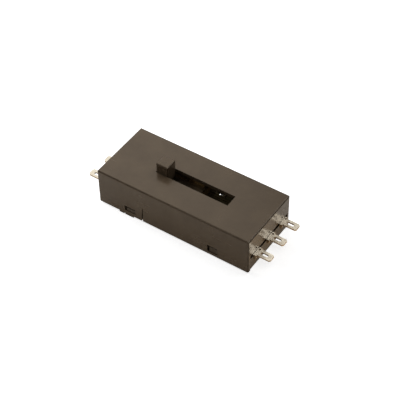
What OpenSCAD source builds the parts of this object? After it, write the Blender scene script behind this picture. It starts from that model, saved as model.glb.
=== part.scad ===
// Four-position slide switch with solder lugs at both ends.
// Origin: centre of the underside. +X is the way the knob travels, +Z is up.

/* [Cover] */
// Length of the cover, without the lugs
cover_length = 57; // [56:0.5:60]
// Width of the cover
cover_width = 24; // [24:0.5:26]
// Height of the cover from its rim to its top
cover_height = 13.5; // [13.5:0.1:15]
// Thickness of the long side walls and the end walls
cover_wall = 1.2; // [1:0.1:1.2]
// Thickness of the top
top_thickness = 1.3; // [1:0.1:1.4]
// Rounding of the outer edges
edge_radius = 0.5; // [0.3:0.05:0.6]
// Height of the base's feet below the cover's rim
foot_height = 0.6; // [0.4:0.1:0.8]

/* [Knob and slot] */
// Length of the knob along its travel
knob_length = 4.5; // [4:0.1:4.8]
// Width of the knob
knob_width = 4.4; // [3.8:0.1:4.4]
// Height of the knob above the cover
knob_height = 3.8; // [3:0.1:6]
// Rounding of the knob's edges
knob_radius = 0.35; // [0.2:0.05:0.6]
// Full travel of the knob, first position to last
travel = 22.3; // [22:0.1:22.6]
// Width of the slot in the cover
slot_width = 4.6; // [4.6:0.1:5]
// Gap between the knob and the slot at either end of the travel
slot_end_gap = 0.15; // [0.1:0.05:0.3]
// Distance of the slot's middle from the cover's middle
slot_offset = 1.05; // [0.8:0.05:1.3]

/* [Lugs] */
// Distance between neighbouring lugs
lug_pitch = 7.62; // [7.5:0.01:7.7]
// Width of a lug
lug_width = 2.8; // [2.6:0.1:3]
// Thickness of the terminal sheet
sheet = 0.55; // [0.4:0.05:0.6]
// How far a lug reaches past the cover
lug_reach = 5.85; // [5:0.05:8]
// Width of the wire hole in a lug
wire_hole_width = 1; // [0.8:0.1:1.4]
// Length of the wire hole in a lug
wire_hole_length = 2.65; // [2:0.05:3]

/* [Contacts] */
// Half the distance between the two fixed contacts of a lane
contact_spread = 3.9; // [3.8:0.1:4]
// Radius of a fixed contact's head
contact_radius = 1.4; // [1:0.1:1.4]
// Height of a fixed contact's head
contact_height = 0.6; // [0.3:0.05:0.6]
// Radius of a contact spring's coil, to the middle of its wire
coil_radius = 0.95; // [0.8:0.05:1]
// Thickness of a contact spring's wire
spring_wire = 0.3; // [0.2:0.05:0.3]
// Turns of a contact spring
spring_turns = 4; // [3:0.5:4.5]

/* [Hidden] */
$fn = 48;
eps = 0.01;

half_length = cover_length / 2;
half_width = cover_width / 2;
top_z = foot_height + cover_height;
ceiling_z = top_z - top_thickness;
inner_x = half_length - cover_wall;
inner_y = half_width - cover_wall;

// The three lanes run along X, and lane 0 is the front one.
FRONT = 0;
MIDDLE = 1;
REAR = 2;
LANES = [FRONT, MIDDLE, REAR];
lane_y = [-lug_pitch, 0, lug_pitch];

// Knob positions 0 to 3
steps = 3;
step = travel / steps;
knob_x = slot_offset - travel / 2;
bridge_x = knob_x - 2.1;
// Each lane closes at one knob position: its contacts sit either side of this place.
gap_x = [for (lane = LANES) bridge_x + (lane + 1) * step];

// Heights of the contact stack, from the bed upwards
strip_z = 6.25;
strip_top = strip_z + sheet;
groove_depth = 0.5;
bed_z = strip_z + groove_depth;
bridge_z = strip_top + contact_height + 0.03;
bridge_sheet = 0.4;
spring_z = bridge_z + bridge_sheet;
spring_roof = 9.6;

// Carriage, the part of the slider inside the cover
carriage_half = 13;
carriage_y = 10;
carriage_z = strip_top + 0.7;
carriage_top = 11.8;
channel_z = 10.6;
channel_y = 3.6;
core_floor = 8.3;
core_near = 2.4;
core_far = 5.3;
leaf_y = 6.2;
leaf_width = 3;
leaf_sheet = 0.25;
leaf_half = 5;
leaf_floor = 11.4;

// Bridge: a tray whose raised ends hang on ledges in the carriage
bridge_width = 3;
bridge_flat = 4.3;
bridge_ramp = 4.85;
bridge_half = 5.6;
bridge_rise = 0.55;
ledge_top = bridge_z + bridge_rise - 0.03;
pocket_half = 5.85;
pocket_width = 3.3;
spring_x = 2.8;

// Detent rack under the cover's top
rack_z = 12.1;
rack_width = 3.4;
notch_depth = 0.55;
notch_half = 1.1;
notch_floor = 0.25;

// Lug end of a terminal
shoulder_width = 3.7;
shoulder_length = 1.2;
wire_hole_start = 1.75;
lug_chamfer = 0.45;
shoulder_hole = 0.35;
ear_drop = 1.3;
ear_tip = 0.5;
// The front lug of the common terminal takes the feed wire and reaches further
feed_lug_extra = 0.4;

// Pegs that hold the terminals on the base
peg_radius = 0.6;
peg_gap = 0.05;
peg_height = 0.45;
peg_x = inner_x - 1.1;
bar_x = -peg_x + 0.8;
bar_half = 1.4;
base_x = half_length - 0.25;
base_y = inner_y - 0.05;
skirt = 1.2;
core_top = strip_z - 1.5;
end_step = 0.8;
end_step_z = strip_z - 1;
rail_y = 4.9;
rail_width = 0.4;
rail_height = 0.35;

// Latch windows: centre, width, lowest and highest edge
WINDOWS = [
    [-16.15, 4.2, 1.9, 3.95],
    [15.3, 3.7, 1.6, 4.4]
];
// The latch in each window: centre, width, how far it stands out of the base
LATCHES = [
    [-15.85, 3.4, 1.1],
    [15.6, 2.9, 1.05]
];
slit_top = 6.3;
SIDES = [0, 180];

// Box with its lowest corner at [x, y, z] and its highest at [u, v, w]
module block(x, u, y, v, z, w) {
    translate([x, y, z])
        cube([u - x, v - y, w - z]);
}

// Rectangle centred on the origin with all corners round
module round_rect(size, r) {
    square([size[0] - 2 * r, size[1]], center = true);
    square([size[0], size[1] - 2 * r], center = true);
    for (sx = [-1, 1], sy = [-1, 1])
        translate([sx * (size[0] / 2 - r), sy * (size[1] / 2 - r)])
            circle(r);
}

// Rectangle standing on the X axis with only its two top corners round
module round_top(width, height, r) {
    translate([-width / 2, 0])
        square([width, height - r]);
    translate([-width / 2 + r, 0])
        square([width - 2 * r, height]);
    for (s = [-1, 1])
        translate([s * (width / 2 - r), height - r])
            circle(r);
}

// Profile drawn in X and Z, pushed along Y to both sides of y
module along_y(y, width) {
    translate([0, y + width / 2, 0])
        rotate([90, 0, 0])
            linear_extrude(width)
                children();
}

// Profile drawn in Y and Z, pushed along X to both sides of x
module along_x(x, width) {
    translate([x - width / 2, 0, 0])
        rotate([90, 0, 90])
            linear_extrude(width)
                children();
}

// Block that stands on the XY plane with its top edges and upright edges round
module rounded_block(length, width, height, r) {
    intersection() {
        linear_extrude(height)
            round_rect([length, width], r);
        along_y(0, width + 2)
            round_top(length, height, r);
        along_x(0, length + 2)
            round_top(width, height, r);
    }
}

// ---- Cover ----

// Notched rib under the cover's top that the detent leaf snaps into
module detent_rack(y) {
    start = knob_x - 4;
    end = knob_x + travel + 4;
    notches = [for (i = [0:steps]) let (x = knob_x + i * step) each [
        [x - notch_half, rack_z],
        [x - notch_floor, rack_z + notch_depth],
        [x + notch_floor, rack_z + notch_depth],
        [x + notch_half, rack_z]
    ]];
    along_y(y, rack_width)
        polygon(concat(
            [[start, ceiling_z + eps], [start, rack_z]],
            notches,
            [[end, rack_z], [end, ceiling_z + eps]]));
}

// Upright ribs that press the base down and steer the carriage
module guide_ribs() {
    rib_depth = 0.6;
    for (x = [-24, -8, 8, 24], s = [-1, 1]) {
        near = min(s * (inner_y - rib_depth), s * (inner_y + eps));
        block(x - 0.5, x + 0.5, near, near + rib_depth + eps, bed_z, ceiling_z + eps);
    }
}

module cover() {
    color([0.23, 0.2, 0.18]) {
        difference() {
            translate([0, 0, foot_height])
                rounded_block(cover_length, cover_width, cover_height, edge_radius);
            block(-inner_x, inner_x, -inner_y, inner_y, 0, ceiling_z);
            // The end walls stop just above the lugs
            block(-half_length - 1, half_length + 1, -inner_y, inner_y, 0, strip_top + 0.2);
            block(
                slot_offset - travel / 2 - knob_length / 2 - slot_end_gap,
                slot_offset + travel / 2 + knob_length / 2 + slot_end_gap,
                -slot_width / 2, slot_width / 2, ceiling_z - 1, top_z + 1);
            for (turn = SIDES, w = WINDOWS)
                rotate([0, 0, turn])
                    block(w[0] - w[1] / 2, w[0] + w[1] / 2, -half_width - 1, -inner_y + 1, w[2], w[3]);
            // Slit beside the first window, so that the wall can spring over the latch
            for (turn = SIDES)
                rotate([0, 0, turn])
                    along_y(-half_width, 2 * cover_wall + 1)
                        polygon([[-11.8, 0], [-11.3, 0], [-11, slit_top], [-11.2, slit_top]]);
        }
        guide_ribs();
        for (s = [-1, 1])
            detent_rack(s * leaf_y);
    }
}

// ---- Base ----

// Side view of the base's body: chamfered below, stepped back under the lugs
module base_profile() {
    right = [
        [base_x - foot_height, 0], [base_x, foot_height], [base_x, end_step_z],
        [base_x - end_step, end_step_z], [base_x - end_step, bed_z]
    ];
    left = [for (i = [len(right) - 1:-1:0]) [-right[i][0], right[i][1]]];
    polygon(concat(right, left));
}

// Latch that stands out of the base's skirt into a window of the cover
module latch(window, latch) {
    reach = latch[2];
    low = window[2] + 0.05;
    high = window[3] - 0.3;
    lead_in = 0.4;
    translate([latch[0], -base_y, 0])
        along_x(0, latch[1])
            polygon([
                [0.2, low], [-reach, low], [-reach, high - lead_in],
                [lead_in - reach, high], [0.2, high]
            ]);
}

// Hollows in the underside, leaving a skirt and crossed ribs
module coring() {
    ribs = [-base_x + skirt / 2, -11, 0, 11, base_x - skirt / 2];
    for (i = [0:len(ribs) - 2], side = [0, 1])
        mirror([0, side, 0])
            block(ribs[i] + skirt / 2, ribs[i + 1] - skirt / 2, skirt / 2, base_y - skirt, -1, core_top);
}

// Grooves in the bed that the strips lie in
module strip_grooves() {
    side = lug_width / 2 + 0.1;
    for (lane = LANES)
        block(-half_length, half_length, lane_y[lane] - side, lane_y[lane] + side,
            strip_z, bed_z + 1);
    block(bar_x - bar_half - 0.1, bar_x + bar_half + 0.1, -lug_pitch - side, lug_pitch + side,
        strip_z, bed_z + 1);
}

// Places of the pegs: one in each lane at the right, two through the common bar
function pegs() = concat(
    [for (lane = LANES) [peg_x, lane_y[lane]]],
    [for (s = [-1, 1]) [bar_x, s * lug_pitch / 2]]);

module base() {
    color([0.2, 0.18, 0.16]) {
        difference() {
            union() {
                along_y(0, 2 * base_y)
                    base_profile();
                // Rails that keep the carriage's skids in line
                for (s = [-1, 1])
                    block(bar_x + bar_half + 0.5, base_x - 2, s * rail_y - rail_width / 2,
                        s * rail_y + rail_width / 2, bed_z - eps, bed_z + rail_height);
                // Foot under the rim at one corner of each long side
                for (turn = SIDES)
                    rotate([0, 0, turn])
                        block(-20.5, -15, -half_width, 0, 0, foot_height);
            }
            coring();
            strip_grooves();
            for (lane = LANES, s = [-1, 1])
                translate([gap_x[lane] + s * contact_spread, lane_y[lane], strip_z - 0.5])
                    cylinder(r = contact_radius, h = 1);
            // Slits either side of each latch free it to bend
            for (turn = SIDES, w = WINDOWS, s = [-1, 1])
                rotate([0, 0, turn])
                    block(w[0] + s * (w[1] / 2 + 0.2) - 0.2, w[0] + s * (w[1] / 2 + 0.2) + 0.2,
                        -half_width - 1, -base_y + skirt + 1, -1, core_top);
        }
        for (turn = SIDES, i = [0, 1])
            rotate([0, 0, turn])
                latch(WINDOWS[i], LATCHES[i]);
        for (p = pegs())
            translate([p[0], p[1], strip_z - eps])
                cylinder(r = peg_radius, h = sheet + peg_height + eps);
    }
}

// ---- Slider ----

module knob() {
    translate([knob_x, 0, channel_z])
        rounded_block(knob_length, knob_width, top_z + knob_height - channel_z, knob_radius);
}

// Space for one bridge and its springs, open below, with a ledge at each end
module bridge_pocket(y) {
    half = pocket_width / 2;
    block(bridge_x - bridge_ramp - 0.1, bridge_x + bridge_ramp + 0.1, y - half, y + half,
        carriage_z - 1, spring_roof);
    block(bridge_x - pocket_half, bridge_x + pocket_half, y - half, y + half, ledge_top, spring_roof);
}

// Hollows in the carriage's top, between the lanes and clear of the detent leaves
module carriage_coring() {
    leaf_side = leaf_y - leaf_width / 2 - 0.7;
    cells = [[-12.2, -6.1, core_far], [-5.5, 5.5, leaf_side], [6.1, 12.2, core_far]];
    for (cell = cells, side = [0, 1])
        mirror([0, side, 0])
            block(knob_x + cell[0], knob_x + cell[1], core_near, cell[2], core_floor, carriage_top + 1);
}

module slider() {
    color([0.25, 0.22, 0.19]) {
        difference() {
            block(knob_x - carriage_half, knob_x + carriage_half, -carriage_y, carriage_y,
                carriage_z, carriage_top);
            block(knob_x - carriage_half - 1, knob_x + carriage_half + 1, -channel_y, channel_y,
                channel_z, carriage_top + 1);
            for (lane = LANES)
                bridge_pocket(lane_y[lane]);
            carriage_coring();
            for (s = [-1, 1])
                block(knob_x - leaf_half - 0.3, knob_x + leaf_half + 0.3,
                    s * leaf_y - leaf_width / 2 - 0.15, s * leaf_y + leaf_width / 2 + 0.15,
                    leaf_floor, carriage_top + 1);
        }
        // Runners on the top and skids below
        for (s = [-1, 1]) {
            block(knob_x - carriage_half, knob_x + carriage_half, s * 9.4 - 0.5, s * 9.4 + 0.5,
                carriage_top - eps, ceiling_z - 0.15);
            block(knob_x - carriage_half, knob_x + carriage_half,
                s * lug_pitch / 2 - 0.8, s * lug_pitch / 2 + 0.8, bed_z + 0.1, carriage_z + eps);
        }
        knob();
    }
}

// ---- Terminals ----

// Outline of a lug that points along +X from the cover's end, seen from above
module lug_outline(extra) {
    reach = lug_reach + extra;
    half = lug_width / 2;
    hole = wire_hole_start + extra;
    difference() {
        union() {
            translate([0, -shoulder_width / 2])
                square([shoulder_length, shoulder_width]);
            polygon([
                [-cover_wall, -half], [reach - lug_chamfer, -half],
                [reach, -half + lug_chamfer], [reach, half - lug_chamfer],
                [reach - lug_chamfer, half], [-cover_wall, half]
            ]);
        }
        for (x = [wire_hole_width / 2, wire_hole_length - wire_hole_width / 2])
            translate([hole + x, 0])
                circle(wire_hole_width / 2);
        translate([hole + wire_hole_width / 2, -wire_hole_width / 2])
            square([wire_hole_length - wire_hole_width, wire_hole_width]);
        translate([shoulder_length / 2 + 0.1, half - 0.3])
            circle(shoulder_hole);
    }
}

// Lug with the pointed ear that is folded down at the shoulder's near side
module lug(lane, extra = 0) {
    translate([half_length, lane_y[lane], strip_z]) {
        linear_extrude(sheet)
            lug_outline(extra);
        along_y((sheet - shoulder_width) / 2, sheet)
            polygon([
                [0, sheet], [0, 0], [(shoulder_length - ear_tip) / 2, -ear_drop],
                [(shoulder_length + ear_tip) / 2, -ear_drop], [shoulder_length, 0],
                [shoulder_length, sheet]
            ]);
    }
}

// Flat strip of a lane between two places along X
module strip(lane, from, to) {
    translate([from, lane_y[lane] - lug_width / 2, strip_z])
        cube([to - from, lug_width, sheet]);
}

// Holes for the rivet shank of a fixed contact and for a peg
module shank_hole(lane, side) {
    translate([gap_x[lane] + side * contact_spread, lane_y[lane], strip_z - 1])
        cylinder(r = contact_radius / 2 + peg_gap, h = sheet + 2);
}

module peg_hole(place) {
    translate([place[0], place[1], strip_z - 1])
        cylinder(r = peg_radius + peg_gap, h = sheet + 2);
}

strip_end = contact_radius + 0.2;

module right_terminal(lane) {
    color([0.8, 0.72, 0.6]) {
        difference() {
            strip(lane, gap_x[lane] + contact_spread - strip_end, half_length);
            shank_hole(lane, 1);
            peg_hole([peg_x, lane_y[lane]]);
        }
        lug(lane);
    }
}

// One stamping: two lugs, a cross bar and a finger along each lane
module common_terminal() {
    color([0.8, 0.72, 0.6]) {
        difference() {
            union() {
                for (lane = LANES) {
                    start = lane == REAR ? bar_x - bar_half : -half_length;
                    strip(lane, start, gap_x[lane] - contact_spread + strip_end);
                }
                block(bar_x - bar_half, bar_x + bar_half,
                    -lug_pitch - lug_width / 2, lug_pitch + lug_width / 2, strip_z, strip_top);
            }
            for (lane = LANES)
                shank_hole(lane, -1);
            for (s = [-1, 1])
                peg_hole([bar_x, s * lug_pitch / 2]);
        }
        mirror([1, 0, 0]) {
            lug(FRONT, feed_lug_extra);
            lug(MIDDLE);
        }
    }
}

// ---- Fixed contacts ----

// Rivet with a domed head above the strip and a flat head below it
module contact(lane, side) {
    dome = (pow(contact_radius, 2) + pow(contact_height, 2)) / (2 * contact_height);
    color([0.86, 0.86, 0.84])
        translate([gap_x[lane] + side * contact_spread, lane_y[lane], 0]) {
            intersection() {
                translate([0, 0, strip_top + contact_height - dome])
                    sphere(dome);
                translate([0, 0, strip_top])
                    cylinder(r = contact_radius + 1, h = contact_height + 1);
            }
            translate([0, 0, strip_z - eps])
                cylinder(r = contact_radius / 2, h = sheet + 2 * eps);
            translate([0, 0, strip_z - 0.4])
                cylinder(r = contact_radius - 0.2, h = 0.4);
        }
}

// ---- Moving contacts ----

module bridge(lane) {
    low = bridge_z;
    high = bridge_z + bridge_rise;
    inset = 0.17;
    color([0.85, 0.8, 0.7])
        translate([bridge_x, 0, 0])
            along_y(lane_y[lane], bridge_width)
                polygon([
                    [-bridge_half, high], [-bridge_ramp, high], [-bridge_flat, low],
                    [bridge_flat, low], [bridge_ramp, high], [bridge_half, high],
                    [bridge_half, high + bridge_sheet], [bridge_ramp - inset, high + bridge_sheet],
                    [bridge_flat - inset, low + bridge_sheet], [-bridge_flat + inset, low + bridge_sheet],
                    [-bridge_ramp + inset, high + bridge_sheet], [-bridge_half, high + bridge_sheet]
                ]);
}

module contact_spring(lane, side) {
    wire = spring_wire / 2;
    height = spring_roof - spring_z - 2 * wire;
    sides = 6;
    rings = round(spring_turns * 14);
    points = [for (i = [0:rings], k = [0:sides - 1])
        let (
            around = 360 * spring_turns * i / rings,
            tilt = 90 + 360 * k / sides,
            r = coil_radius + wire * cos(tilt),
            z = wire + height * i / rings + wire * sin(tilt)
        )
        [r * cos(around), r * sin(around), z]];
    skin = [for (i = [0:rings - 1], k = [0:sides - 1])
        let (n = (k + 1) % sides)
        [i * sides + k, i * sides + n, (i + 1) * sides + n, (i + 1) * sides + k]];
    start = [for (k = [sides - 1:-1:0]) k];
    end = [for (k = [0:sides - 1]) rings * sides + k];
    color([0.78, 0.78, 0.76])
        translate([bridge_x + side * spring_x, lane_y[lane], spring_z])
            polyhedron(points, concat(skin, [start, end]));
}

// ---- Detent ----

// Height of the leaf above its feet: a long bow with a nose in the middle
function leaf_rise(x) =
    (abs(x) < 4 ? 0.4 * (1 + cos(180 * x / 4)) / 2 : 0)
    + (abs(x) < 0.9 ? 0.55 * (1 + cos(180 * x / 0.9)) / 2 : 0);

module detent_leaf(y) {
    xs = concat(
        [-leaf_half],
        [for (i = [-10:-3]) i * 0.4],
        [for (i = [-6:6]) i * 0.15],
        [for (i = [3:10]) i * 0.4],
        [leaf_half]);
    upper = [for (x = xs) [x, leaf_rise(x) + leaf_sheet]];
    lower = [for (i = [len(xs) - 1:-1:0]) [xs[i], leaf_rise(xs[i])]];
    color([0.75, 0.76, 0.78])
        translate([knob_x, 0, leaf_floor])
            along_y(y, leaf_width)
                polygon(concat(upper, lower));
}

cover();
base();
slider();
common_terminal();
right_terminal(FRONT);  // terminal_right_front
right_terminal(MIDDLE);  // terminal_right_middle
right_terminal(REAR);  // terminal_right_rear
contact(FRONT, -1);  // contact_left_front
contact(MIDDLE, -1);  // contact_left_middle
contact(REAR, -1);  // contact_left_rear
contact(FRONT, 1);  // contact_right_front
contact(MIDDLE, 1);  // contact_right_middle
contact(REAR, 1);  // contact_right_rear
bridge(FRONT);  // bridge_front
bridge(MIDDLE);  // bridge_middle
bridge(REAR);  // bridge_rear
contact_spring(FRONT, -1);  // spring_front_a
contact_spring(FRONT, 1);  // spring_front_b
contact_spring(MIDDLE, -1);  // spring_middle_a
contact_spring(MIDDLE, 1);  // spring_middle_b
contact_spring(REAR, -1);  // spring_rear_a
contact_spring(REAR, 1);  // spring_rear_b
detent_leaf(-leaf_y);  // detent_leaf_front
detent_leaf(leaf_y);  // detent_leaf_rear
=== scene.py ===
import math

import bmesh
import bpy
from mathutils import Matrix, Vector


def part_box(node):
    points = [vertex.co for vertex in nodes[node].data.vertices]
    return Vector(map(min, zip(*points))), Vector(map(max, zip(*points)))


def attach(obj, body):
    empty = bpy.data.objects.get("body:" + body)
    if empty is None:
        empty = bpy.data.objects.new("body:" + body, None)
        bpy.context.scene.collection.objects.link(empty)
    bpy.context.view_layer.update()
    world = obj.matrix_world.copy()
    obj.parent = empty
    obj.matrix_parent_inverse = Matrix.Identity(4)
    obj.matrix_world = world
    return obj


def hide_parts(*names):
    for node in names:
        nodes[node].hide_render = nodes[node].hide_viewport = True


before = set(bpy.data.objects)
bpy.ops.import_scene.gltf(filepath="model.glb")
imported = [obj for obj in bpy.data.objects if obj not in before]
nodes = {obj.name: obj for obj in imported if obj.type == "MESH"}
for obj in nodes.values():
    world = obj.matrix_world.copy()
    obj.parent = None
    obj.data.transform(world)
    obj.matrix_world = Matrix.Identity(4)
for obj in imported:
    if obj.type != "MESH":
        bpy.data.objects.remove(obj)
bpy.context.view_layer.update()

scene = bpy.context.scene


# ---- Camera ----
# A long lens that looks down on the switch over its front right corner, so that the
# lugs of the right end stand nearest to it.

camera_turn = math.radians(34.786)
camera_rise = math.radians(45.957)
camera_roll = math.radians(-1.173)
camera_distance = 0.41515
camera_aside = 0.002181
camera_lift = 0.003980
rim_centre = Vector((0, 0, 0.0006))
film_width = 36
focal_length = 116.4
nearest_seen = 0.01
farthest_seen = 20

back = Vector((
    math.sin(camera_turn) * math.cos(camera_rise),
    -math.cos(camera_turn) * math.cos(camera_rise),
    math.sin(camera_rise),
))
level = Vector((math.cos(camera_turn), math.sin(camera_turn), 0))
upright = back.cross(level)
right = level * math.cos(camera_roll) + upright * math.sin(camera_roll)
up = upright * math.cos(camera_roll) - level * math.sin(camera_roll)

camera = bpy.data.objects.new("camera", bpy.data.cameras.new("camera"))
scene.collection.objects.link(camera)
camera.data.sensor_width = film_width
camera.data.lens = focal_length
camera.data.clip_start = nearest_seen
camera.data.clip_end = farthest_seen
camera.rotation_mode = "QUATERNION"
camera.rotation_quaternion = Matrix((right, up, back)).transposed().to_quaternion()
camera.location = rim_centre + back * camera_distance + right * camera_aside + up * camera_lift
scene.camera = camera


# ---- Base ----
# The base closes the switch from below and carries the rest. It is moulded in a filled,
# warm black plastic with a satin, fine-grained skin, and its bed is greased where the
# slider runs over it, in a grease painted far lighter, as painted light on the bed.

base_dark = (0.038, 0.028, 0.019)
base_light = (0.048, 0.036, 0.024)
base_roughness = 0.28
base_grain_depth = 0.000006
base_grain_scale = 3200

worn_plastic = (0.13, 0.1, 0.072)
# Painted shade for the rounded edges.
painted_edge_shade = (0.055, 0.037, 0.023)
plastic_tint = (1, 0.86, 0.68, 1)
plastic_ior = 1.42
plastic_edge = 0.00022

# Painted light: the grease on the bed is far lighter than the base, to light the bed seen in the
# slot.
bed_painted_light_low = (0.16, 0.135, 0.065)
bed_painted_light_high = (0.17, 0.115, 0.048)
bed_levels = {
    "Clean": 0.0056, "Greased": 0.0061, "Shallow": 0.0075, "Deep": 0.006, "Walls": 0}


def new_material(name):
    material = bpy.data.materials.new(name)
    material.use_nodes = True
    tree = material.node_tree
    return material, tree, tree.nodes["Principled BSDF"]


def start_group(name, inputs, outputs):
    tree = bpy.data.node_groups.new(name, "ShaderNodeTree")
    for label, value in inputs.items():
        socket = tree.interface.new_socket(label, in_out="INPUT", socket_type="NodeSocketFloat")
        socket.default_value = value
    for label in outputs:
        tree.interface.new_socket(label, in_out="OUTPUT", socket_type="NodeSocketFloat")
    return tree, tree.nodes.new("NodeGroupInput").outputs, tree.nodes.new("NodeGroupOutput").inputs


def place_group(tree, group, **values):
    placed = tree.nodes.new("ShaderNodeGroup")
    placed.node_tree = group
    for label, value in values.items():
        placed.inputs[label].default_value = value
    return placed.outputs


def feed(tree, socket, value):
    if isinstance(value, bpy.types.NodeSocket):
        tree.links.new(value, socket)
    else:
        socket.default_value = value


def place_on_piece(tree):
    return tree.nodes.new("ShaderNodeTexCoord").outputs["Object"]


def facing(tree):
    return tree.nodes.new("ShaderNodeNewGeometry").outputs["Normal"]


def split(tree, vector):
    made = tree.nodes.new("ShaderNodeSeparateXYZ")
    feed(tree, made.inputs["Vector"], vector)
    return made.outputs


def stretch(tree, vector, scale, turn=0):
    made = tree.nodes.new("ShaderNodeMapping")
    made.inputs["Rotation"].default_value = (0, 0, turn)
    made.inputs["Scale"].default_value = scale
    feed(tree, made.inputs["Vector"], vector)
    return made.outputs["Vector"]


def noise(tree, vector, scale, detail=3):
    made = tree.nodes.new("ShaderNodeTexNoise")
    made.inputs["Detail"].default_value = detail
    feed(tree, made.inputs["Vector"], vector)
    feed(tree, made.inputs["Scale"], scale)
    return made.outputs["Fac"]


def reach(tree, value, low, high, to_low=0, to_high=1):
    made = tree.nodes.new("ShaderNodeMapRange")
    for socket, number in zip(made.inputs, (value, low, high, to_low, to_high)):
        feed(tree, socket, number)
    return made.outputs["Result"]


def calculate(tree, operation, *values):
    made = tree.nodes.new("ShaderNodeMath")
    made.operation = operation
    for socket, value in zip(made.inputs, values):
        feed(tree, socket, value)
    return made.outputs["Value"]


def blend_colours(tree, share, first, second):
    made = tree.nodes.new("ShaderNodeMix")
    made.data_type = "RGBA"
    feed(tree, made.inputs["Factor"], share)
    sockets = [socket for socket in made.inputs if socket.type == "RGBA"]
    for socket, colour in zip(sockets, (first, second)):
        feed(tree, socket, colour if isinstance(colour, bpy.types.NodeSocket) else (*colour, 1))
    return next(socket for socket in made.outputs if socket.type == "RGBA")


def add_bump(tree, shader, height, depth):
    bump = tree.nodes.new("ShaderNodeBump")
    bump.inputs["Distance"].default_value = depth
    feed(tree, bump.inputs["Height"], height)
    feed(tree, shader.inputs["Normal"], bump.outputs["Normal"])


# Worn edges. Mask is 1 along sharp edges, with ragged gaps. The second output is up to 1, in
# patches, on the rounded edges, which face none of the three main directions: it makes them
# smoother, as if polished, and darkens them with painted shade.
wear_samples = 6
worn_turn = (0.99, 0.86)
wear_gaps = (0.4, 0.62)
rounded_turn = (0.998, 0.95)
burnish_and_shade_scale = 260
burnish_and_shade_patches = (0.35, 0.55, 0.35, 1)

edge_wear, given, made = start_group(
    "edge_wear", {"Width": 0.0002, "Ragged": 900}, ["Mask", "Burnish And Shade"])
softened = edge_wear.nodes.new("ShaderNodeBevel")
softened.samples = wear_samples
feed(edge_wear, softened.inputs["Radius"], given["Width"])
turned = edge_wear.nodes.new("ShaderNodeVectorMath")
turned.operation = "DOT_PRODUCT"
feed(edge_wear, turned.inputs[0], softened.outputs["Normal"])
feed(edge_wear, turned.inputs[1], facing(edge_wear))
position = place_on_piece(edge_wear)
feed(edge_wear, made["Mask"], calculate(
    edge_wear, "MULTIPLY", reach(edge_wear, turned.outputs["Value"], *worn_turn),
    reach(edge_wear, noise(edge_wear, position, given["Ragged"]), *wear_gaps)))
squarest = 0
for part in split(edge_wear, facing(edge_wear)):
    squarest = calculate(
        edge_wear, "MAXIMUM", squarest, calculate(edge_wear, "ABSOLUTE", part))
feed(edge_wear, made["Burnish And Shade"], calculate(
    edge_wear, "MULTIPLY", reach(edge_wear, squarest, *rounded_turn),
    reach(edge_wear, noise(edge_wear, position, burnish_and_shade_scale), *burnish_and_shade_patches)))

# Skin of a moulding: broad flow clouds, a fine grain, and thin scuffs from handling
cloud_edges = (0.3, 0.7)
scuff_turn = math.radians(12)
scuff_stretch = (90, 2600, 700)
scuff_edges = (0.66, 0.74)
handled_scale = 75
handled_edges = (0.5, 0.7)

moulded_skin, given, made = start_group(
    "moulded_skin", {"Cloud Scale": 120, "Grain Scale": 4000}, ["Cloud", "Grain", "Scuff"])
position = place_on_piece(moulded_skin)
feed(moulded_skin, made["Cloud"], reach(
    moulded_skin, noise(moulded_skin, position, given["Cloud Scale"], detail=4), *cloud_edges))
feed(moulded_skin, made["Grain"], noise(moulded_skin, position, given["Grain Scale"]))
along_scuffs = stretch(moulded_skin, position, scuff_stretch, scuff_turn)
feed(moulded_skin, made["Scuff"], calculate(
    moulded_skin, "MULTIPLY",
    reach(moulded_skin, noise(moulded_skin, along_scuffs, 1, detail=2), *scuff_edges),
    reach(moulded_skin, noise(moulded_skin, position, handled_scale, detail=1), *handled_edges)))

# Grease on the sliding parts. It sets in from the height Clean to the height Greased, in
# smears along the travel, and keeps to upward faces where Walls is 0. The second output
# grows from the height Deep to the height Shallow and blends painted light and shade.
lying_turn = (0.3, 0.7)
smear_stretch = (0.15, 1, 1)
smear_scale = 900
smears = (0.35, 0.6, 0.45, 1)
height_shading_scale = 170
height_shading_spread = 0.8

grease_and_shading_masks, given, made = start_group(
    "grease_and_shading_masks",
    {"Clean": 0.003, "Greased": 0.002, "Shallow": 0.002, "Deep": 0, "Walls": 1},
    ["Mask", "Height Shading"])
position = place_on_piece(grease_and_shading_masks)
height = split(grease_and_shading_masks, position)["Z"]
low_enough = reach(grease_and_shading_masks, height, given["Clean"], given["Greased"])
looks_up = reach(grease_and_shading_masks, split(grease_and_shading_masks, facing(grease_and_shading_masks))["Z"], *lying_turn)
holds_grease = calculate(grease_and_shading_masks, "MAXIMUM", looks_up, given["Walls"])
along_travel = stretch(grease_and_shading_masks, position, smear_stretch)
feed(grease_and_shading_masks, made["Mask"], calculate(
    grease_and_shading_masks, "MULTIPLY", calculate(grease_and_shading_masks, "MULTIPLY", low_enough, holds_grease),
    reach(grease_and_shading_masks, noise(grease_and_shading_masks, along_travel, smear_scale), *smears)))
uneven = calculate(
    grease_and_shading_masks, "MULTIPLY_ADD", noise(grease_and_shading_masks, position, height_shading_scale, detail=2),
    height_shading_spread, -height_shading_spread / 2)
feed(grease_and_shading_masks, made["Height Shading"], calculate(
    grease_and_shading_masks, "ADD", uneven, reach(grease_and_shading_masks, height, given["Deep"], given["Shallow"])))

worn_share = 0.35
cloud_roughness = (-0.02, 0.03)
scuff_roughness = 0.12
burnish_roughness = -0.07
grease_roughness = 0.7


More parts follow.
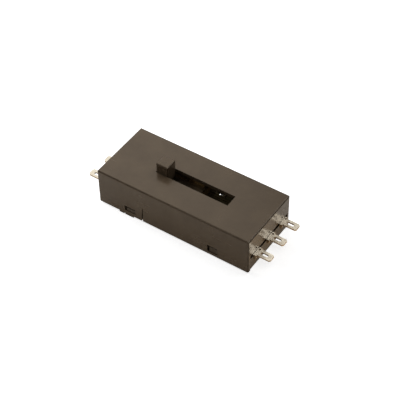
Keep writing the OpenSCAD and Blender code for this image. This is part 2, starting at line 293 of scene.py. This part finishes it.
def moulded_plastic(name, dark, light, roughness, grain_depth, grain_scale):
    material, tree, shader = new_material(name)
    skin = place_group(tree, moulded_skin, **{"Grain Scale": grain_scale})
    worn = place_group(tree, edge_wear, Width=plastic_edge)
    rubbed = calculate(tree, "MULTIPLY", worn["Mask"], worn_share)
    colour = blend_colours(tree, skin["Cloud"], dark, light)
    colour = blend_colours(tree, rubbed, colour, worn_plastic)
    # Painted shade: a darker line along the rounded edges.
    colour = blend_colours(tree, worn["Burnish And Shade"], colour, painted_edge_shade)
    smooth, dull = (roughness + change for change in cloud_roughness)
    finish = reach(tree, skin["Cloud"], 0, 1, smooth, dull)
    finish = calculate(tree, "MULTIPLY_ADD", skin["Scuff"], scuff_roughness, finish)
    finish = calculate(tree, "MULTIPLY_ADD", worn["Burnish And Shade"], burnish_roughness, finish)
    feed(tree, shader.inputs["Base Color"], colour)
    feed(tree, shader.inputs["Roughness"], finish)
    add_bump(tree, shader, skin["Grain"], grain_depth)
    shader.inputs["IOR"].default_value = plastic_ior
    shader.inputs["Specular Tint"].default_value = plastic_tint
    return material


def spread_grease_and_painted_light(material, low_tone, high_tone, levels):
    tree = material.node_tree
    shader = tree.nodes["Principled BSDF"]
    film = place_group(tree, grease_and_shading_masks, **levels)
    clean, finish = (
        shader.inputs[label].links[0].from_socket for label in ("Base Color", "Roughness"))
    # Painted light and shade: the two grease colours change with height.
    grease_and_light = blend_colours(tree, film["Height Shading"], low_tone, high_tone)
    feed(tree, shader.inputs["Base Color"], blend_colours(tree, film["Mask"], clean, grease_and_light))
    feed(tree, shader.inputs["Roughness"],
         reach(tree, film["Mask"], 0, 1, finish, grease_roughness))
    return material


def dress(name, material):
    nodes[name].data.materials.clear()
    nodes[name].data.materials.append(material)


dress("base", spread_grease_and_painted_light(
    moulded_plastic(
        "base_plastic", base_dark, base_light, base_roughness, base_grain_depth,
        base_grain_scale),
    bed_painted_light_low, bed_painted_light_high, bed_levels))


# ---- Terminals ----
# Each terminal is stamped from brass sheet and tin plated: pale and satin on its faces,
# with fine rolling lines along it and yellow brass on the sheared edges. Its holes fit
# over pegs of the base.

tin_bright = (0.7, 0.635, 0.52)
tin_dull = (0.62, 0.545, 0.43)
# Painted shade: the common terminal at the left end wears a darker copy of the same tin.
shaded_common_tin_bright = (0.55, 0.5, 0.41)
shaded_common_tin_dull = (0.48, 0.43, 0.34)
bare_brass = (0.33, 0.24, 0.14)
# Painted shade for the holes and corners of the sheet.
painted_crevice_shade = (0.06, 0.04, 0.02)
greased_tin = (0.42, 0.33, 0.18)
tin_roughness = 0.25
brass_share = 0.85

# Rolled sheet: thin lines along the strip, and soft clouds of tarnish
rolling_stretch = (0.03, 1, 1)
tarnish_scale = 420
tarnish_edges = (0.35, 0.7)

rolled_sheet, given, made = start_group("rolled_sheet", {"Lines": 7000}, ["Line", "Tarnish"])
position = place_on_piece(rolled_sheet)
along_strip = stretch(rolled_sheet, position, rolling_stretch)
feed(rolled_sheet, made["Line"], noise(rolled_sheet, along_strip, given["Lines"]))
feed(rolled_sheet, made["Tarnish"], reach(
    rolled_sheet, noise(rolled_sheet, position, tarnish_scale, detail=4), *tarnish_edges))

# Sheared edge: 1 on the upright faces that the punch has cut, 0 on the sheet's own faces
sheared_turn = (0.6, 0.3)

sheared_edge, given, made = start_group("sheared_edge", {}, ["Mask"])
flatness = calculate(sheared_edge, "ABSOLUTE", split(sheared_edge, facing(sheared_edge))["Z"])
feed(sheared_edge, made["Mask"], reach(sheared_edge, flatness, *sheared_turn))

# Crevice: 1 deep in holes and corners, 0 on open faces; it darkens them with painted shade
crevice_samples = 8
crevice_edges = (0.93, 0.65)

crevice_shade, given, made = start_group("crevice_shade", {"Reach": 0.0012}, ["Mask"])
open_space = crevice_shade.nodes.new("ShaderNodeAmbientOcclusion")
open_space.samples = crevice_samples
open_space.only_local = True
feed(crevice_shade, open_space.inputs["Distance"], given["Reach"])
feed(crevice_shade, made["Mask"], reach(crevice_shade, open_space.outputs["AO"], *crevice_edges))

# Inside the cover: 1 between the two end walls, where the grease of the slide spreads
greased_reach = (0.024, 0.021)

inside_cover, given, made = start_group("inside_cover", {}, ["Mask"])
from_middle = calculate(
    inside_cover, "ABSOLUTE", split(inside_cover, place_on_piece(inside_cover))["X"])
feed(inside_cover, made["Mask"], reach(inside_cover, from_middle, *greased_reach))

sheet_edge = 0.0001
sheet_ragged = 2500
worn_sheet_share = 0.3
tarnish_roughness = (-0.03, 0.06)
sheared_roughness = 0.12
thin_film = (0.1, 0.5, 0.5, 1)
film_roughness = 0.5
film_metallic = 0.1
rolling_depth = 0.0000015


def plated_sheet(name, bright, dull, core, core_share, roughness):
    material, tree, shader = new_material(name)
    sheet = place_group(tree, rolled_sheet)
    cut = place_group(tree, sheared_edge)["Mask"]
    worn = place_group(tree, edge_wear, Width=sheet_edge, Ragged=sheet_ragged)["Mask"]
    bare = calculate(
        tree, "MAXIMUM", calculate(tree, "MULTIPLY", cut, core_share),
        calculate(tree, "MULTIPLY", worn, worn_sheet_share))
    film = calculate(
        tree, "MULTIPLY", place_group(tree, inside_cover)["Mask"],
        reach(tree, sheet["Tarnish"], *thin_film))
    colour = blend_colours(tree, sheet["Tarnish"], bright, dull)
    colour = blend_colours(tree, bare, colour, core)
    # Painted shade deep in the holes and corners of the sheet.
    colour = blend_colours(tree, place_group(tree, crevice_shade)["Mask"], colour, painted_crevice_shade)
    smooth, tarnished = (roughness + change for change in tarnish_roughness)
    finish = reach(tree, sheet["Tarnish"], 0, 1, smooth, tarnished)
    finish = calculate(tree, "MULTIPLY_ADD", cut, sheared_roughness, finish)
    feed(tree, shader.inputs["Base Color"], blend_colours(tree, film, colour, greased_tin))
    feed(tree, shader.inputs["Roughness"], reach(tree, film, 0, 1, finish, film_roughness))
    feed(tree, shader.inputs["Metallic"], reach(tree, film, 0, 1, 1, film_metallic))
    add_bump(tree, shader, sheet["Line"], rolling_depth)
    return material


lanes = ("front", "middle", "rear")
right_tin = plated_sheet(
    "right_tin", tin_bright, tin_dull, bare_brass, brass_share, tin_roughness)
for lane in lanes:
    dress("terminal_right_" + lane, right_tin)
dress("common_terminal", plated_sheet(
    "shaded_common_tin", shaded_common_tin_bright, shaded_common_tin_dull, bare_brass, brass_share, tin_roughness))


# ---- Fixed contacts ----
# The fixed contacts are silver rivets with domed heads, headed cold in the terminals.
# Their crowns are smoked where the bridges make and break the current.

head_height = 0.0006
shank_radius = 0.0007
tail_radius = 0.0012
tail_height = 0.0004
dome_steps = 12
rivet_steps = 64
same_point = 1e-7
crease = math.radians(30)

silver_bright = (0.88, 0.87, 0.84)
silver_smoked = (0.3, 0.27, 0.23)
silver_roughness = (0.12, 0.5)
crown_turn = (0.95, 0.995)
smoke_scale = 2400
smoke_edges = (0.42, 0.6)
silver_grain_scale = 9000
silver_grain_depth = 0.000001

contact_silver, tree, shader = new_material("contact_silver")
position = place_on_piece(tree)
smoke = calculate(
    tree, "MULTIPLY", reach(tree, split(tree, facing(tree))["Z"], *crown_turn),
    reach(tree, noise(tree, position, smoke_scale, detail=4), *smoke_edges))
feed(tree, shader.inputs["Base Color"], blend_colours(tree, smoke, silver_bright, silver_smoked))
feed(tree, shader.inputs["Roughness"], reach(tree, smoke, 0, 1, *silver_roughness))
silver_grain = noise(tree, position, silver_grain_scale, detail=2)
add_bump(tree, shader, silver_grain, silver_grain_depth)
shader.inputs["Metallic"].default_value = 1


def finish_piece(shape, name, material):
    bmesh.ops.recalc_face_normals(shape, faces=shape.faces)
    mesh = bpy.data.meshes.new(name)
    shape.to_mesh(mesh)
    shape.free()
    mesh.shade_smooth()
    mesh.materials.append(material)
    piece = bpy.data.objects.new(name, mesh)
    scene.collection.objects.link(piece)
    return piece


def head_rivet(name, replaced):
    low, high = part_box(replaced)
    middle = (low + high) / 2
    head_radius = (high.x - low.x) / 2
    head_z = high.z - head_height
    dome_radius = (head_radius ** 2 + head_height ** 2) / (2 * head_height)
    corners = (
        (0, low.z), (tail_radius, low.z), (tail_radius, low.z + tail_height),
        (shank_radius, low.z + tail_height), (shank_radius, head_z), (head_radius, head_z),
    )
    shape = bmesh.new()
    outline = [shape.verts.new((middle.x + out, middle.y, z)) for out, z in corners]
    for start, end in zip(outline, outline[1:]):
        shape.edges.new((start, end))
    bmesh.ops.spin(
        shape, geom=[outline[-1]], cent=(middle.x, middle.y, high.z - dome_radius),
        axis=(0, -1, 0), angle=math.asin(head_radius / dome_radius), steps=dome_steps)
    bmesh.ops.spin(
        shape, geom=shape.verts[:] + shape.edges[:], cent=(middle.x, middle.y, 0),
        axis=(0, 0, 1), angle=2 * math.pi, steps=rivet_steps, use_merge=True)
    bmesh.ops.remove_doubles(shape, verts=shape.verts, dist=same_point)
    rivet = finish_piece(shape, name, contact_silver)
    rivet.data.set_sharp_from_angle(angle=crease)
    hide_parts(replaced)
    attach(rivet, "housing")


for end in ("left", "right"):
    for lane in lanes:
        head_rivet("contact_rivet_%s_%s" % (end, lane), "contact_%s_%s" % (end, lane))


# ---- Bridges ----
# A bridge is a bent tray of phosphor bronze strip, silver plated so that it carries
# the current across the gap between two fixed contacts.

bronze_plated = (0.8, 0.75, 0.65)
bronze_rubbed = (0.7, 0.6, 0.46)
bronze_core = (0.62, 0.36, 0.2)
bronze_roughness = 0.24
bronze_share = 0.7

bridge_bronze = plated_sheet(
    "bridge_bronze", bronze_plated, bronze_rubbed, bronze_core, bronze_share, bronze_roughness)
for lane in lanes:
    dress("bridge_" + lane, bridge_bronze)


# ---- Contact springs ----
# Two small coil springs press each bridge down. They are wound from bright spring
# wire, with one closed turn at either end and open turns between.

wire_radius = 0.00015
wire_sides = 12
closed_turns = 1
open_turns = 2
closed_pitch = 2.06 * wire_radius
steps_per_turn = 28

steel_bright = (0.62, 0.62, 0.62)
steel_dull = (0.47, 0.47, 0.48)
steel_roughness = (0.22, 0.34)
steel_edge = 0.00006
steel_ragged = 3000
dull_scale = 1600
dull_edges = (0.35, 0.65)
steel_grain_scale = 12000
steel_grain_depth = 0.000001

spring_steel, tree, shader = new_material("spring_steel")
position = place_on_piece(tree)
worn = place_group(tree, edge_wear, Width=steel_edge, Ragged=steel_ragged)["Mask"]
dullness = reach(tree, noise(tree, position, dull_scale, detail=4), *dull_edges)
feed(tree, shader.inputs["Base Color"], blend_colours(
    tree, worn, blend_colours(tree, dullness, steel_bright, steel_dull), steel_bright))
feed(tree, shader.inputs["Roughness"], reach(tree, dullness, 0, 1, *steel_roughness))
steel_grain = noise(tree, position, steel_grain_scale, detail=2)
add_bump(tree, shader, steel_grain, steel_grain_depth)
shader.inputs["Metallic"].default_value = 1


def wind_spring(name, replaced):
    low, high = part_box(replaced)
    middle = (low + high) / 2
    coil_radius = (high.x - low.x) / 2 - wire_radius
    rise = high.z - low.z - 2 * wire_radius
    open_pitch = (rise - 2 * closed_turns * closed_pitch) / open_turns
    shape = bmesh.new()
    start = Matrix.Translation((middle.x + coil_radius, middle.y, low.z + wire_radius))
    bmesh.ops.create_circle(
        shape, segments=wire_sides, radius=wire_radius,
        matrix=start @ Matrix.Rotation(math.radians(90), 4, "X"))
    ring = shape.edges[:]
    for turns, pitch in ((closed_turns, closed_pitch), (open_turns, open_pitch),
                         (closed_turns, closed_pitch)):
        spun = bmesh.ops.spin(
            shape, geom=ring, cent=(middle.x, middle.y, 0), axis=(0, 0, 1),
            dvec=(0, 0, pitch / steps_per_turn), angle=2 * math.pi * turns,
            steps=steps_per_turn * turns)
        ring = [part for part in spun["geom_last"] if isinstance(part, bmesh.types.BMEdge)]
    bmesh.ops.holes_fill(shape, edges=[edge for edge in shape.edges if edge.is_boundary])
    spring = finish_piece(shape, name, spring_steel)
    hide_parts(replaced)
    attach(spring, "slider")


for lane in lanes:
    for end in ("a", "b"):
        wind_spring("coil_spring_%s_%s" % (lane, end), "spring_%s_%s" % (lane, end))


# ---- Slider ----
# Knob and carriage are one moulding in the same plastic as the cover. The knob is
# rubbed by fingers, and the carriage below it is greased, painted light brown in its deep
# cells and near black on its high faces, as painted light and shade in the slot.

# Painted light: the slider's colours are a little lighter than the cover's, to lighten the knob's
# top.
slider_dark = (0.07, 0.0478, 0.0285)
slider_light = (0.099, 0.0689, 0.042)
slider_roughness = 0.28
polished_grain_depth = 0.000002
polished_grain_scale = 5000

# Painted light in the carriage's deep cells, painted shade on its high faces.
carriage_painted_light = (0.33, 0.2, 0.075)
carriage_painted_shade = (0.02, 0.011, 0.004)
carriage_levels = {"Clean": 0.0116, "Greased": 0.0113, "Shallow": 0.0105, "Deep": 0.0088}

dress("slider", spread_grease_and_painted_light(
    moulded_plastic(
        "slider_plastic", slider_dark, slider_light, slider_roughness, polished_grain_depth,
        polished_grain_scale),
    carriage_painted_light, carriage_painted_shade, carriage_levels))


# ---- Detent leaves ----
# Each leaf is a bowed strip of spring steel that lies in a pocket of the carriage. Its
# nose snaps into the notches under the cover's top.

for lane in ("front", "rear"):
    dress("detent_leaf_" + lane, spring_steel)


# ---- Cover ----
# The cover is one moulding in warm black plastic, open below. It comes smooth and
# slightly glossy out of a polished mould, and snaps over the latches of the base.

cover_dark = (0.067, 0.0452, 0.028)
cover_light = (0.094, 0.0662, 0.0412)
cover_roughness = 0.25

dress("cover", moulded_plastic(
    "cover_plastic", cover_dark, cover_light, cover_roughness, polished_grain_depth,
    polished_grain_scale))


# ---- Floor, backdrop and studio light ----
# A pale sweep, flat under the switch and turned up at its rim. A small strong key stands
# behind on the right and a near fill behind on the left, with a side softbox at the left
# end and two weak fills in front that reach down into the slot.

floor_radius = 2.4
floor_sides = 96
floor_gap = 0.00002
sweep = ((0.12, 0.03), (0.08, 0.12), (0.02, 0.35))
paper = (0.8, 0.8, 0.8, 1)
white = (1, 1, 1)
cream = (1, 0.72, 0.42)
seen_glow = 0.75
mirrored_glow = 0.26
key_glow = 0.72
key_glow_centre = (0.04, 0.001, 0)
key_glow_reach = (0.016, 0.005)
sky_strength = 0.1

floor_shape = bmesh.new()
bmesh.ops.create_circle(
    floor_shape, cap_ends=True, segments=floor_sides, radius=floor_radius,
    matrix=Matrix.Translation((0, 0, -floor_gap)))
rim = floor_shape.edges[:]
for out, rise in sweep:
    grown = bmesh.ops.extrude_edge_only(floor_shape, edges=rim)["geom"]
    ring = [part for part in grown if isinstance(part, bmesh.types.BMVert)]
    rim = [part for part in grown if isinstance(part, bmesh.types.BMEdge)]
    for vert in ring:
        outward = Vector((vert.co.x, vert.co.y, 0)).normalized()
        vert.co += outward * out + Vector((0, 0, rise))
floor_mesh = bpy.data.meshes.new("floor")
floor_shape.to_mesh(floor_mesh)
floor_shape.free()
floor = bpy.data.objects.new("floor", floor_mesh)
scene.collection.objects.link(floor)

# The floor is white to the eye. In the gloss of the switch it is a dim cream, painted shade
# for the floor near the switch, with a painted pool of light beside the right end, where the key
# falls past the cover.
floor_white, tree, shader = new_material("floor_white")
shader.inputs["Base Color"].default_value = paper
shader.inputs["Roughness"].default_value = 1
shader.inputs["Specular IOR Level"].default_value = 0
path = tree.nodes.new("ShaderNodeLightPath").outputs
mirrored = calculate(tree, "MAXIMUM", path["Is Glossy Ray"], path["Is Transmission Ray"])
from_spot = tree.nodes.new("ShaderNodeVectorMath")
from_spot.operation = "DISTANCE"
feed(tree, from_spot.inputs[0], place_on_piece(tree))
feed(tree, from_spot.inputs[1], key_glow_centre)
glow = reach(tree, from_spot.outputs["Value"], *key_glow_reach, mirrored_glow, key_glow)
feed(tree, shader.inputs["Emission Color"], blend_colours(tree, mirrored, white, cream))
feed(tree, shader.inputs["Emission Strength"], calculate(
    tree, "MAXIMUM", calculate(tree, "MULTIPLY", path["Is Camera Ray"], seen_glow),
    calculate(tree, "MULTIPLY", mirrored, glow)))
floor_mesh.materials.append(floor_white)

world = bpy.data.worlds.new("studio")
scene.world = world
world.use_nodes = True
sky = world.node_tree.nodes["Background"]
sky.inputs["Color"].default_value = (*white, 1)
sky.inputs["Strength"].default_value = sky_strength


def softbox(name, direction, distance, side, radiance):
    direction = Vector(direction).normalized()
    lamp = bpy.data.lights.new(name, "AREA")
    lamp.shape = "SQUARE"
    lamp.size = side
    lamp.energy = radiance * math.pi * side ** 2
    holder = bpy.data.objects.new(name, lamp)
    scene.collection.objects.link(holder)
    holder.location = direction * distance
    holder.rotation_mode = "QUATERNION"
    holder.rotation_quaternion = direction.to_track_quat("Z", "Y")


softbox("key_softbox", direction=(0.33, 0.61, 0.73), distance=1, side=0.35, radiance=6)
softbox("fill_softbox", direction=(-0.62, 0.42, 0.7), distance=0.35, side=0.3, radiance=1.47)
softbox("side_softbox", direction=(-0.97, 0.05, 0.6), distance=0.3, side=0.2, radiance=4.3)
softbox("front_fill_left", direction=(-0.35, -0.62, 0.7), distance=1.2, side=0.3, radiance=2.7)
softbox("front_fill_right", direction=(0.6, -0.5, 0.62), distance=1.2, side=0.5, radiance=0.42)

scene.view_settings.view_transform = "Standard"
